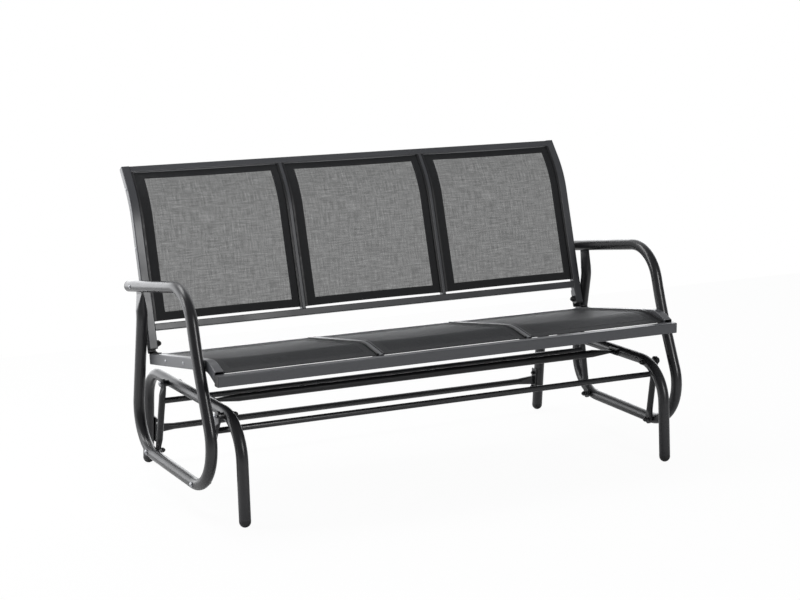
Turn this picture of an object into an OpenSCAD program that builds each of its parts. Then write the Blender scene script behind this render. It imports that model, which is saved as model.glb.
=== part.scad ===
/* [Seat] */
// Width over the two side rails of the seat
seat_width = 1450; // [1100:10:1700]
// Depth from the front face of the front rail to the rear end of the side rails
seat_depth = 500; // [440:5:560]
// Distance of the rear end of the side rails behind the origin
seat_rear = 180; // [165:5:195]
// Height of the side rail axis where it passes over the origin
seat_height = 378.5; // [370:0.5:400]
// Height of the front rail axis above the seat height
front_rail_rise = 10.3; // [0:0.1:20]
// Upward slope of the seat towards its front edge, in degrees
seat_slope = 9; // [5:0.5:12]
// Downward slope of the side rails in front of their bend, in degrees
nose_slope = 24; // [18:1:28]
// Radius of the front bend in the side rails
nose_radius = 85; // [60:5:110]
// Downward slope of the fabric at the front edge, in degrees
sling_nose_slope = 10; // [6:1:14]
// Radius of the front bend of the fabric
sling_nose_radius = 170; // [120:10:220]
// Width of a seat rail
rail_width = 25; // [20:1:30]
// Height of a seat rail
rail_height = 30; // [25:1:35]
// Radius on the long edges of rails and posts
edge_radius = 2.5; // [2:0.5:4]
// Wall of the rails, the posts and the bars between the panels
rail_wall = 1.2; // [1:0.1:1.8]
// Width of the bars between the fabric panels
divider_width = 12; // [8:1:20]
// Height of the bars between the seat panels
divider_height = 24; // [20:1:28]

/* [Back] */
// Distance of the foot of the posts behind the rear end of the side rails
post_setback = 5.6; // [3:0.1:8]
// Height of the foot of the posts above the seat height
post_rise = 0.6; // [-2:0.1:4]
// Depth of a back post, front to rear
post_depth = 20; // [16:1:25]
// Lean of the lower stretch of the back, in degrees from upright
back_lean = 16.8; // [12:0.2:22]
// Lean of the flared top of the back, in degrees from upright
flare_lean = 38.5; // [30:0.5:45]
// Length of the lower stretch of a post, up to the corner of its bend
post_low_length = 414.7; // [380:1:450]
// Length of the flared stretch of a post, from the corner of its bend
post_top_length = 116.3; // [90:1:140]
// Bend radius of a post at its axis
post_bend_radius = 290; // [200:10:320]
// Distance of the lower back rail from the foot of the posts
low_rail_offset = 48; // [40:1:80]
// Height of the top rail and of the lower back rail
back_rail_height = 20; // [16:1:26]
// Open gap between the back fabric and the lower back rail
back_gap = 6; // [4:1:12]

/* [Tubes] */
// Diameter of the armrest loops and of the base arches
frame_tube = 32; // [28:1:36]
// Wall of the round tubes
tube_wall = 1.5; // [1:0.1:2.5]
// Diameter of the swing links
link_tube = 19; // [16:1:22]
// Diameter of the bars that join the links
tie_tube = 17; // [14:1:20]
// Diameter of the front stretcher
front_bar_tube = 22; // [19:1:25]
// Diameter of the rear stretcher
rear_bar_tube = 19; // [16:1:25]

/* [Armrest loops] */
// Height of the armrest axis over the origin
arm_height = 588.2; // [570:1:610]
// Rise of the armrest towards the front, in degrees
arm_slope = 8.9; // [5:0.1:12]
// Rear end of the armrest
arm_rear = 278; // [265:1:300]
// Radius of the bend from the armrest into the front upright
arm_bend_radius = 118; // [90:2:125]
// Lean of the front upright above its knee, in degrees, its foot forward
upper_lean = 18.4; // [16:0.2:22]
// Lean of the front upright below its knee, in degrees, its foot forward
lower_lean = 24; // [20:0.2:27]
// Height of the knee, the slight bend in the front upright
knee_height = 425; // [410:1:440]
// Distance of the knee ahead of the origin
knee_y = 221; // [210:1:235]
// Radius of the knee
knee_radius = 1300; // [600:50:1500]
// Radius of the lower front bend
front_low_radius = 125; // [105:5:130]
// Height of the bottom bar axis under the seat
bottom_bar_height = 88.2; // [80:1:110]
// Rise of the bottom bar towards the rear, in degrees
bottom_bar_slope = 1; // [0:0.1:3]
// Radius of the lower rear bend
rear_low_radius = 120; // [90:2:140]
// Lean of the rear upright, in degrees, its head forward
rear_upright_lean = 9.7; // [8:0.1:16]
// Distance of the rear upright behind the origin, at the seat height
rear_upright_y = 199.5; // [190:0.1:212]
// Height of the slight bend below the head of the rear upright
rear_knee_height = 472; // [460:1:485]
// Radius of the slight bend in the rear upright
rear_knee_radius = 100; // [60:10:120]
// Lean of the head of the rear upright, in degrees, its top rearward
head_lean = 9.8; // [5:0.1:13]
// Length of the head of the rear upright, up to the armrest axis
blade_length = 68; // [55:1:70]
// Thickness of the flattened head of the rear upright
blade_thickness = 7; // [5:0.5:9]
// Width of the flattened head of the rear upright
blade_width = 40; // [34:1:44]
// Clear gap between an armrest loop and the seat
loop_gap = 1; // [0.5:0.5:3]

/* [Base] */
// Clear gap between an armrest loop and a base arch
swing_room = 39; // [36:1:50]
// Height of the arch axis
arch_height = 284.5; // [270:0.5:295]
// Distance between the front and the rear foot of an arch
foot_spacing = 708; // [660:2:740]
// Outward lean of the arch legs, in degrees
leg_lean = 4.25; // [1:0.25:6]
// Radius of the front bend of an arch
arch_front_radius = 120; // [110:5:140]
// Radius of the rear bend of an arch
arch_rear_radius = 88; // [70:2:110]
// Height of the seam between a leg and its foot cap
foot_cap_height = 19; // [17:1:24]
// Diameter of the flat underside of a foot cap
foot_flat = 10; // [6:1:16]
// Distance of the front stretcher ahead of the origin
front_bar_y = 103; // [80:1:140]
// Height of the rear stretcher
rear_bar_height = 101; // [80:1:140]

/* [Swing] */
// Upper front pivot, ahead of the origin
front_top_y = 253; // [230:1:258]
// Lower front pivot, ahead of the origin
front_low_y = 198; // [185:1:205]
// Upper rear pivot, behind the origin
rear_top_y = 144; // [130:1:160]
// Lower rear pivot, behind the origin
rear_low_y = 138; // [128:1:150]
// Height of the bar that joins the front links
front_tie_height = 238; // [225:1:250]
// Height of the bar that joins the rear links
rear_tie_height = 235; // [225:1:250]
// Diameter of the pivot bolts
bolt_diameter = 8; // [6:1:10]
// Clearance on radius of a link on its pivot bolt
pivot_clearance = 0.08; // [0.03:0.01:0.1]
// Extra clearance on radius of the rear links on their lower bolts
rear_low_play = 1.8; // [1:0.1:3]
// Diameter of the eyes of a link
eye_diameter = 27; // [24:1:30]
// Thickness of the eyes of a link
eye_thickness = 7; // [5:0.5:9]
// Distance from a pivot to the full round of a link
eye_taper = 33; // [28:1:36]
// Length of the pivot bolt that shows beside a link
bolt_room = 5; // [2:0.5:8]

/* [Fabric] */
// Thickness of the sling fabric
fabric_thickness = 1.4; // [0.8:0.2:2]
// Width of the track that holds a fabric edge
track_width = 6; // [5.5:0.5:8]
// Height of the track that holds a fabric edge
track_height = 10; // [8:1:14]
// Width of the welt sewn into a fabric edge
welt_width = 3; // [2:0.2:3.4]
// Depth of the fabric below the top of the rails
fabric_drop = 4; // [3:0.5:7]

/* [Hidden] */

$fn = 48;
hull_faces = 32;
gap = 0.3;
tiny = 0.01;
lap = 0.4;
swell = 1.001;

frame_radius = frame_tube / 2;
link_radius = link_tube / 2;
eye_radius = eye_diameter / 2;
bolt_radius = bolt_diameter / 2;
half_width = seat_width / 2;
inner_width = half_width - rail_width;
loop_x = half_width + loop_gap + frame_radius;
arch_x = loop_x - frame_tube - swing_room;
foot_y = foot_spacing / 2;

// A line in the side view is a point and a heading in degrees, anticlockwise from the rear.
// A point is [distance behind the origin, height].
function heading(angle) = [cos(angle), sin(angle)];
function meet(p, a, q, b) =
    let (u = heading(a), v = heading(b), d = q - p, k = u[0] * v[1] - u[1] * v[0])
    p + u * (d[0] * v[1] - d[1] * v[0]) / k;
function bearing(p, q) = atan2(q[1] - p[1], q[0] - p[0]);
function swerve(a, b) = let (d = b - a) d > 180 ? d - 360 : d < -180 ? d + 360 : d;
function turn_at(path, i) = swerve(bearing(path[i - 1], path[i]), bearing(path[i], path[i + 1]));
function set_back(path, radii, i) =
    i <= 0 || i >= len(path) - 1 ? 0 : radii[i - 1] * tan(abs(turn_at(path, i)) / 2);
function leg_length(path, radii, i) =
    norm(path[i + 1] - path[i]) - set_back(path, radii, i) - set_back(path, radii, i + 1);

// Radius of a faceted disc that covers a circle with a little to spare
function around(radius) = radius / cos(180 / hull_faces) + 0.15;

module side_view() {
    rotate([90, 0, 90]) children();
}

// One straight stretch with the child outline as its section
module straight(p, angle, length) {
    translate([p[0], p[1], 0]) rotate([0, 0, angle]) rotate([90, 0, 90])
        linear_extrude(length) children();
}

// One bend with the child outline as its section
module bend(path, radii, i) {
    turn = turn_at(path, i);
    side = turn > 0 ? 1 : -1;
    radius = radii[i - 1];
    start = path[i] - set_back(path, radii, i) * heading(bearing(path[i - 1], path[i]));
    entry = bearing(path[i - 1], path[i]);
    centre = start + side * radius * heading(entry + 90);
    from = side > 0 ? entry - 90 : entry + 90 + turn;
    translate([centre[0], centre[1], 0]) rotate([0, 0, from])
        rotate_extrude(angle = abs(turn)) translate([radius, 0])
            mirror([side > 0 ? 1 : 0, 0]) scale(swell) children();
}

// A bar bent in the side view: corner points, and a radius for each inner corner.
// The straights run a little way into the bends, which are a hair fuller.
module bent_bar(path, radii) {
    last = len(path) - 2;
    side_view() {
        for (i = [0 : last]) {
            angle = bearing(path[i], path[i + 1]);
            before = i > 0 ? lap : 0;
            after = i < last ? lap : 0;
            straight(path[i] + (set_back(path, radii, i) - before) * heading(angle), angle,
                leg_length(path, radii, i) + before + after)
                children();
        }
        for (i = [1 : last])
            bend(path, radii, i) children();
    }
}

module bent_tube(path, radii, radius) {
    difference() {
        bent_bar(path, radii) circle(radius);
        bent_bar(path, radii) circle(radius - tube_wall);
    }
}

// A rectangle with rounded corners
module rounded_box(w, h, r) {
    square([w - 2 * r, h], center = true);
    square([w, h - 2 * r], center = true);
    for (x = [-1, 1], y = [-1, 1])
        translate([x * (w / 2 - r), y * (h / 2 - r)]) circle(r);
}

module box_tube(w, h) {
    difference() {
        rounded_box(w, h, edge_radius);
        rounded_box(w - 2 * rail_wall, h - 2 * rail_wall, edge_radius - rail_wall);
    }
}

// A hollow rectangular bar bent in the side view: w is its size in the side view
module bent_rail(path, radii, w, h) {
    difference() {
        bent_bar(path, radii) rounded_box(w, h, edge_radius);
        bent_bar(path, radii)
            rounded_box(w - 2 * rail_wall, h - 2 * rail_wall, edge_radius - rail_wall);
    }
}

module both_sides() {
    children();
    mirror([1, 0, 0]) children();
}

// A round bar along the width of the bench, from x1 to x2
module cross_bar(x1, x2, y, z, radius) {
    translate([x1, y, z]) rotate([0, 90, 0]) cylinder(h = x2 - x1, r = radius);
}

// Side view of the seat rails: rear end, corner of the front bend, front end
front_axis = [-seat_depth + seat_rear + rail_width / 2, seat_height + front_rail_rise];
seat_line = [0, seat_height];
seat_heading = 180 - seat_slope;
nose_corner = meet(seat_line, seat_heading, front_axis, 180 + nose_slope);
side_path = [
    [seat_rear, seat_height - seat_rear * tan(seat_slope)],
    nose_corner,
    meet(front_axis, 180 + nose_slope, front_axis + [rail_width / 2, 0], 90)
];

// Side view of the fabric and of the dividers: the top surface of the dividers
top_line = seat_line + [0, rail_height / 2 / cos(seat_slope)];
rear_rail_front = seat_rear - rail_width;
nose_top = front_axis + [rail_width / 2, rail_height / 2 + 3];
top_path = [
    [rear_rail_front, top_line[1] - rear_rail_front * tan(seat_slope)],
    meet(top_line, seat_heading, nose_top, 180 + sling_nose_slope),
    nose_top
];

// A path moved square to itself, to its right
function shifted(path, d) = [
    path[0] + d * heading(bearing(path[0], path[1]) - 90),
    meet(path[0] + d * heading(bearing(path[0], path[1]) - 90), bearing(path[0], path[1]),
        path[2] + d * heading(bearing(path[1], path[2]) - 90), bearing(path[1], path[2])),
    path[2] + d * heading(bearing(path[1], path[2]) - 90)
];
// A path cut back at its two ends
function trimmed(path, head, tail) = [
    path[0] + head * heading(bearing(path[0], path[1])),
    path[1],
    path[2] - tail * heading(bearing(path[1], path[2]))
];

// Side view of the back posts at their axis: foot, corner of the bend, top
post_foot = [seat_rear + post_setback, seat_height + post_rise];
post_corner = post_foot + post_low_length * heading(90 - back_lean);
post_top = post_corner + post_top_length * heading(90 - flare_lean);
post_path = [post_foot, post_corner, post_top];

// Side view of the armrest loops
loop_ref = 392;
arm_line = [0, arm_height];
arm_heading = 180 - arm_slope;
knee = [-knee_y, knee_height];
upper_heading = 270 - upper_lean;
lower_heading = 270 - lower_lean;
bar_line = [0, bottom_bar_height];
rear_upright_heading = 90 + rear_upright_lean;
arm_front_corner = meet(arm_line, arm_heading, knee, upper_heading);
low_front_corner = meet(knee, lower_heading, bar_line, bottom_bar_slope);
low_rear_corner = meet(bar_line, bottom_bar_slope, [rear_upright_y, loop_ref], rear_upright_heading);
rear_knee = meet([rear_upright_y, loop_ref], rear_upright_heading, [0, rear_knee_height], 0);
head_heading = 90 - head_lean;
upright_head = meet(rear_knee, head_heading, arm_line, arm_heading);
blade_start = upright_head - blade_length * heading(head_heading);
arm_end = meet(arm_line, arm_heading, [arm_rear, 0], 90);
loop_path = [
    arm_end, arm_front_corner, knee, low_front_corner, low_rear_corner, rear_knee, blade_start
];
loop_radii = [arm_bend_radius, knee_radius, front_low_radius, rear_low_radius, rear_knee_radius];

// Side view of the base arches, cut off above the foot caps
front_foot = [-foot_y, 0];
rear_foot = [foot_y, 0];
arch_front_corner = meet(front_foot, 90 - leg_lean, [0, arch_height], 0);
arch_rear_corner = meet(rear_foot, 90 + leg_lean, [0, arch_height], 0);
arch_path = [
    meet(front_foot, 90 - leg_lean, [0, foot_cap_height], 0),
    arch_front_corner,
    arch_rear_corner,
    meet(rear_foot, 90 + leg_lean, [0, foot_cap_height], 0)
];
arch_radii = [arch_front_radius, arch_rear_radius];

// Height of a bent tube's axis on the far side of a bend centre
function on_bend(path, radii, i, y, up) =
    let (entry = bearing(path[i - 1], path[i]), side = turn_at(path, i) > 0 ? 1 : -1)
    let (start = path[i] - set_back(path, radii, i) * heading(entry))
    let (c = start + side * radii[i - 1] * heading(entry + 90))
    c[1] + up * sqrt(pow(radii[i - 1], 2) - pow(y - c[0], 2));

// Height of the bottom bar's axis, which rises where the rear bend begins
function bar_height(y) =
    let (entry = set_back(loop_path, loop_radii, 4) * cos(bottom_bar_slope))
    y > low_rear_corner[0] - entry ? on_bend(loop_path, loop_radii, 4, y, -1)
        : bottom_bar_height + y * tan(bottom_bar_slope);

// Pivots in the side view
front_top = [-front_top_y, on_bend(arch_path, arch_radii, 1, -front_top_y, 1)];
front_low = [-front_low_y, on_bend(loop_path, loop_radii, 3, -front_low_y, -1)];
rear_top = [rear_top_y, arch_height];
rear_low = [rear_low_y, bar_height(rear_low_y)];

// Places of the link eyes across the width
eye_top_x = arch_x + frame_radius + 13;
eye_low_x = loop_x - frame_radius - 5.5;

function link_at(top, low, z) =
    let (k = (top[1] - z) / (top[1] - low[1]))
    [eye_top_x + k * (eye_low_x - eye_top_x), top[0] + k * (low[0] - top[0]), z];

// Fasteners along +X, their seat at the origin
washer_radius = bolt_radius * 2.2;
head_radius = bolt_radius * 1.9;
head_height = bolt_radius * 1.1;
nut_height = bolt_radius * 1.3;
nut_radius = bolt_radius * 1.85;
dome_radius = bolt_radius * 1.45;
saddle_height = 1;
spacer_radius = bolt_radius * 2.25;

module along_x() {
    rotate([0, 90, 0]) children();
}

// A low domed bolt head
module domed_head(radius, height) {
    sphere_radius = (pow(radius, 2) + pow(height, 2)) / (2 * height);
    along_x()
        intersection() {
            cylinder(h = height + 1, r = radius);
            translate([0, 0, height - sphere_radius]) sphere(sphere_radius, $fn = 64);
        }
}

// A hexagon nut closed by a dome
module cap_nut(radius, height, dome) {
    along_x() {
        cylinder(h = height, r = radius, $fn = 6);
        translate([0, 0, height])
            intersection() {
                cylinder(h = dome, r = dome);
                sphere(dome);
            }
    }
}

module shank(x1, x2, radius) {
    translate([x1, 0, 0]) along_x() cylinder(h = x2 - x1, r = radius);
}

// A washer whose far side is hollowed to sit on a round tube along the depth
module saddle(x1, x2, radius, bore) {
    difference() {
        shank(x1, x2, radius);
        shank(x1 - 1, x2 + 1, bore);
    }
}

module at_pivot(p) {
    translate([0, p[0], p[1]]) children();
}

module arch() {
    difference() {
        translate([arch_x, 0, 0]) bent_tube(arch_path, arch_radii, frame_radius);
        for (p = [front_top, rear_top])
            at_pivot(p) shank(arch_x - frame_tube, arch_x + frame_tube, bolt_radius + gap / 2);
    }
}

module left_arch() {
    color("#3a3a3c") mirror([1, 0, 0]) arch();
}

module right_arch() {
    color("#3a3a3c") arch();
}

// A domed cap on a leg, flat where it stands, with a plug in the tube
module foot_cap(foot, lean) {
    dome_height = sqrt(pow(frame_radius, 2) - pow(foot_flat / 2, 2));
    seam = foot_cap_height / cos(leg_lean);
    difference() {
        translate([arch_x, foot[0], 0]) rotate([lean, 0, 0]) {
            translate([0, 0, dome_height / cos(leg_lean)]) {
                difference() {
                    sphere(frame_radius);
                    translate([0, 0, 1]) cylinder(h = frame_tube, r = frame_tube);
                }
                cylinder(h = seam - dome_height / cos(leg_lean), r = frame_radius);
            }
            translate([0, 0, dome_height])
                cylinder(h = seam + 20 - dome_height, r = frame_radius - tube_wall - gap);
        }
        translate([arch_x, foot[0], -50]) cube(100, center = true);
    }
}

module foot_caps() {
    color("#151516") both_sides() {
        foot_cap(front_foot, -leg_lean);
        foot_cap(rear_foot, leg_lean);
    }
}

// The front stretcher: its flattened ends are welded to plates inside the arches
leg_face = arch_x - frame_radius;
bar_plate = 4;
front_plate_width = 46;
front_plate_height = 20;
front_bolt_spacing = 26;
front_bar_taper = 75;
front_bar_end = [11, 6];

module front_stretcher() {
    reach = leg_face - bar_plate - front_bar_taper;
    color("#2f2f31") {
        difference() {
            cross_bar(-reach, reach, -front_bar_y, arch_height, front_bar_tube / 2);
            cross_bar(-reach + tiny, reach - tiny, -front_bar_y, arch_height,
                front_bar_tube / 2 - tube_wall);
        }
        both_sides() {
            hull() {
                cross_bar(reach - 1, reach, -front_bar_y, arch_height,
                    around(front_bar_tube / 2), $fn = hull_faces);
                translate([leg_face - bar_plate, -front_bar_y, arch_height])
                    cube([0.4, front_bar_end[0], front_bar_end[1]], center = true);
            }
            difference() {
                translate([leg_face - bar_plate, -front_bar_y - front_plate_width / 2,
                    arch_height - front_plate_height / 2])
                    cube([bar_plate, front_plate_width, front_plate_height]);
                for (s = [-1, 1])
                    translate([leg_face - 2 * bar_plate, s * front_bolt_spacing / 2 - front_bar_y,
                        arch_height - 1])
                        along_x() cylinder(h = 3 * bar_plate, r = 3 + gap / 2);
            }
        }
    }
}

// The rear stretcher: its flattened ends are welded to plates on the rear legs
leg_plate = 4;
leg_plate_height = 74;
leg_plate_width = 24;
leg_bolt_spacing = 48;
rear_bar_y = foot_y - rear_bar_height * tan(leg_lean);
rear_bar_taper = 55;

module on_rear_leg() {
    translate([0, rear_bar_y, rear_bar_height]) rotate([leg_lean, 0, 0]) children();
}

module rear_stretcher() {
    reach = leg_face - leg_plate - rear_bar_taper;
    color("#2f2f31") {
        difference() {
            cross_bar(-reach, reach, rear_bar_y, rear_bar_height, rear_bar_tube / 2);
            cross_bar(-reach + tiny, reach - tiny, rear_bar_y, rear_bar_height,
                rear_bar_tube / 2 - tube_wall);
        }
        both_sides() {
            hull() {
                cross_bar(reach - 1, reach, rear_bar_y, rear_bar_height,
                    around(rear_bar_tube / 2), $fn = hull_faces);
                translate([leg_face - leg_plate, rear_bar_y, rear_bar_height])
                    cube([0.4, 8, 28], center = true);
            }
            on_rear_leg()
                difference() {
                    translate([leg_face - leg_plate, -leg_plate_width / 2, -leg_plate_height / 2])
                        cube([leg_plate, leg_plate_width, leg_plate_height]);
                    for (s = [-1, 1])
                        translate([leg_face - 2 * leg_plate, 0, s * leg_bolt_spacing / 2])
                            along_x() cylinder(h = 3 * leg_plate, r = 3 + gap / 2);
                }
        }
    }
}

module stretcher_bolts() {
    color("#1b1b1c") both_sides() {
        for (s = [-1, 1]) {
            translate([leg_face - bar_plate, s * front_bolt_spacing / 2 - front_bar_y,
                arch_height - 1])
                mirror([1, 0, 0]) cap_nut(6, 5, 5.2);
            on_rear_leg()
                translate([leg_face - leg_plate, 0, s * leg_bolt_spacing / 2])
                    mirror([1, 0, 0]) cap_nut(6, 5, 5.2);
        }
    }
}

// Upper pivots, from the inner side of an arch outwards: nut, arch, bushing, link eye, head
module upper_pivot_bolts() {
    head_seat = eye_top_x + eye_thickness / 2 + gap + bolt_room;
    color("#8a8b8d") both_sides()
        for (p = [front_top, rear_top])
            at_pivot(p) {
                shank(arch_x - frame_radius - saddle_height - nut_height, head_seat + tiny,
                    bolt_radius);
                translate([head_seat, 0, 0]) shank(0, 1.2, washer_radius);
                translate([head_seat + 1.2, 0, 0]) domed_head(head_radius, head_height);
            }
}

module upper_pivot_nuts() {
    seat = arch_x - frame_radius - saddle_height;
    color("#161617") both_sides()
        for (p = [front_top, rear_top])
            difference() {
                at_pivot(p) {
                    mirror([1, 0, 0]) translate([-seat, 0, 0])
                        cap_nut(nut_radius, nut_height, dome_radius);
                    shank(seat - tiny, seat + 4, washer_radius);
                }
                at_pivot(p)
                    shank(seat - nut_height, arch_x, bolt_radius);
                translate([arch_x, 0, 0]) bent_bar(arch_path, arch_radii) circle(frame_radius);
            }
}

module upper_pivot_bushings() {
    face = eye_top_x - eye_thickness / 2 - gap;
    color("#161617") both_sides()
        for (p = [front_top, rear_top])
            difference() {
                at_pivot(p) saddle(arch_x + frame_radius - 4, face, spacer_radius, bolt_radius);
                translate([arch_x, 0, 0]) bent_bar(arch_path, arch_radii) circle(frame_radius);
            }
}

// A flattened end of a link: an eye, a flat neck and a taper into the tube
module link_end(p, way, spin, tilt) {
    neck = eye_radius + 1;
    neck_width = eye_diameter - 2;
    translate(p) rotate([atan2(-way[1], way[2]), 0, 0]) along_x()
        linear_extrude(eye_thickness, center = true) {
            circle(eye_radius);
            translate([-neck, -neck_width / 2]) square([neck, neck_width]);
        }
    hull() {
        translate(p) rotate([atan2(-way[1], way[2]), 0, 0])
            translate([0, 0, neck - 0.5])
                cube([eye_thickness - 0.04, neck_width - 0.04, 0.4], center = true);
        translate(p + eye_taper * way) rotate([0, 0, spin]) rotate([0, tilt, 0])
            cylinder(h = 0.2, r = around(link_radius), center = true, $fn = hull_faces);
    }
}

// A swing link: a tube with flattened ends, each with an eye on the pivot axis
module link(top, low, low_play) {
    head = [eye_top_x, top[0], top[1]];
    foot = [eye_low_x, low[0], low[1]];
    run = foot - head;
    along = run / norm(run);
    tilt = acos(-along[2]);
    spin = atan2(-along[1], -along[0]);
    difference() {
        union() {
            link_end(head, along, spin, tilt);
            link_end(foot, -along, spin, tilt);
            translate(foot - eye_taper * along) rotate([0, 0, spin]) rotate([0, tilt, 0])
                rotate([0, 0, 97]) cylinder(h = norm(run) - 2 * eye_taper, r = link_radius);
        }
        translate(head) along_x()
            cylinder(h = 3 * eye_thickness, r = bolt_radius + pivot_clearance, center = true);
        translate(foot) along_x()
            cylinder(h = 3 * eye_thickness, r = bolt_radius + low_play, center = true);
    }
}

// The solid of a link's straight stretch, for the bars that are coped to it
module link_core(top, low) {
    head = [eye_top_x, top[0], top[1]];
    foot = [eye_low_x, low[0], low[1]];
    run = foot - head;
    along = run / norm(run);
    tilt = acos(-along[2]);
    spin = atan2(-along[1], -along[0]);
    translate(foot) rotate([0, 0, spin]) rotate([0, tilt, 0])
        cylinder(h = norm(run), r = link_radius);
}

module link_tie(top, low, height) {
    p = link_at(top, low, height);
    difference() {
        cross_bar(-p[0], p[0], p[1], height, tie_tube / 2);
        cross_bar(-p[0] - 1, p[0] + 1, p[1], height, tie_tube / 2 - tube_wall);
        both_sides() link_core(top, low);
    }
}

module front_link_left() {
    color("#343436") mirror([1, 0, 0]) link(front_top, front_low, pivot_clearance);
}

module front_link_right() {
    color("#343436") link(front_top, front_low, pivot_clearance);
}

module front_link_tie() {
    color("#343436") link_tie(front_top, front_low, front_tie_height);
}

module rear_link_left() {
    color("#343436") mirror([1, 0, 0]) link(rear_top, rear_low, rear_low_play);
}

module rear_link_right() {
    color("#343436") link(rear_top, rear_low, rear_low_play);
}

module rear_link_tie() {
    color("#343436") link_tie(rear_top, rear_low, rear_tie_height);
}

// Bolt places that the loops share with the frame they carry
arm_bolt = meet(arm_line, arm_heading, post_foot, 90 - back_lean);
seat_bolt = meet(knee, lower_heading, seat_line - [0, 4], seat_heading);

module in_blade() {
    translate([loop_x, upright_head[0], upright_head[1]]) rotate([-head_lean, 0, 0])
        children();
}

module loop() {
    difference() {
        union() {
            translate([loop_x, 0, 0]) bent_bar(loop_path, loop_radii) circle(frame_radius);
            hull() {
                translate([loop_x, 0, 0]) side_view()
                    straight(blade_start - heading(head_heading), head_heading, 1.2)
                        circle(around(frame_radius), $fn = hull_faces);
                in_blade()
                    translate([0, 0, -frame_radius - 6])
                        cube([blade_thickness - 0.04, blade_width - 0.04, 1], center = true);
            }
            in_blade()
                translate([-blade_thickness / 2, -blade_width / 2, -frame_radius - 6])
                    cube([blade_thickness, blade_width, frame_radius + 6]);
        }
        translate([loop_x, 0, 0])
            bent_bar(loop_path, loop_radii) circle(frame_radius - tube_wall);
        for (p = [front_low, rear_low])
            at_pivot(p) shank(loop_x - frame_tube, loop_x + frame_tube, bolt_radius + gap / 2);
        at_pivot(seat_bolt) shank(loop_x - frame_tube, loop_x, bolt_radius + gap / 2);
    }
}

module left_arm_loop() {
    color("#3a3a3c") mirror([1, 0, 0]) loop();
}

module right_arm_loop() {
    color("#3a3a3c") loop();
}

// A rounded plug in the open rear end of each armrest
module arm_end_caps() {
    color("#2a2a2c") both_sides()
        translate([loop_x, arm_end[0], arm_end[1]]) rotate([-90 - arm_slope, 0, 0])
            rotate_extrude()
                polygon(concat(
                    [[0, -20], [frame_radius - tube_wall - gap, -20],
                     [frame_radius - tube_wall - gap, 0]],
                    [for (a = [0 : 15 : 90])
                        [frame_radius - 7 + 7 * cos(a), 3 + 7 * sin(a)]],
                    [[0, 10]]
                ));
}

// Lower pivots, from the outside inwards: head, loop, spacer, link eye, nut
module lower_pivot_bolts() {
    head_seat = loop_x + frame_radius + saddle_height;
    nut_seat = eye_low_x - eye_thickness / 2 - gap - bolt_room;
    color("#8a8b8d") both_sides()
        for (p = [front_low, rear_low])
            difference() {
                at_pivot(p) {
                    shank(nut_seat - nut_height, head_seat, bolt_radius);
                    shank(head_seat - 5, head_seat, washer_radius);
                    translate([head_seat - tiny, 0, 0]) domed_head(head_radius, head_height);
                }
                difference() {
                    translate([loop_x, 0, 0]) bent_bar(loop_path, loop_radii) circle(frame_radius);
                    at_pivot(p) shank(loop_x - frame_tube, loop_x + frame_tube, bolt_radius);
                }
            }
}

module lower_pivot_nuts() {
    seat = eye_low_x - eye_thickness / 2 - gap - bolt_room;
    color("#161617") both_sides()
        for (p = [front_low, rear_low])
            at_pivot(p)
                difference() {
                    mirror([1, 0, 0]) translate([-seat, 0, 0])
                        cap_nut(nut_radius, nut_height, dome_radius);
                    shank(seat - nut_height, seat + 1, bolt_radius);
                }
}

module lower_pivot_spacers() {
    face = eye_low_x + eye_thickness / 2 + gap;
    color("#161617") both_sides()
        for (p = [front_low, rear_low])
            difference() {
                at_pivot(p) saddle(face, loop_x - frame_radius + 4, spacer_radius, bolt_radius);
                translate([loop_x, 0, 0]) bent_bar(loop_path, loop_radii) circle(frame_radius);
            }
}

module seat_front_rail() {
    color("#474749")
        translate([-half_width, front_axis[0], front_axis[1]]) along_x()
            linear_extrude(seat_width) box_tube(rail_height, rail_width);
}

rear_axis = [seat_rear - rail_width / 2, seat_height - (seat_rear - rail_width / 2) * tan(seat_slope)];

module seat_rear_rail() {
    color("#3a3a3c")
        translate([-inner_width, rear_axis[0], rear_axis[1]]) rotate([-seat_slope, 0, 0])
            along_x() linear_extrude(2 * inner_width) box_tube(rail_width, rail_width);
}

module side_rail() {
    difference() {
        translate([half_width - rail_width / 2, 0, 0])
            bent_rail(side_path, [nose_radius], rail_height, rail_width);
        translate([half_width, front_axis[0], front_axis[1]])
            cube([2 * rail_width + 10, rail_width, 2 * rail_height], center = true);
        at_pivot(seat_bolt) {
            shank(inner_width - 1, inner_width + rail_wall + 1, head_radius + gap / 2);
            shank(inner_width, half_width + 1, bolt_radius + gap / 2);
        }
    }
}

module seat_left_rail() {
    color("#5a5a5c") mirror([1, 0, 0]) side_rail();
}

module seat_right_rail() {
    color("#5a5a5c") side_rail();
}

// Across the width: the middle of each divider, and the clear width of each panel
clear_width = 2 * inner_width - 2 * divider_width;
panel_width = clear_width / 3;
divider_x = panel_width / 2 + divider_width / 2;
panel_places = [-panel_width - divider_width, 0, panel_width + divider_width];

module seat_divider() {
    path = shifted(top_path, -divider_height / 2);
    translate([divider_x, 0, 0])
        difference() {
            bent_rail(path, [sling_nose_radius - divider_height / 2], divider_height,
                divider_width);
            translate([0, front_axis[0], front_axis[1]])
                rotate([90, 0, 90]) linear_extrude(rail_width, center = true)
                    rounded_box(rail_width, rail_height, edge_radius);
        }
}

module seat_left_divider() {
    color("#5a5a5c") mirror([1, 0, 0]) seat_divider();
}

module seat_right_divider() {
    color("#5a5a5c") seat_divider();
}

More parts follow.
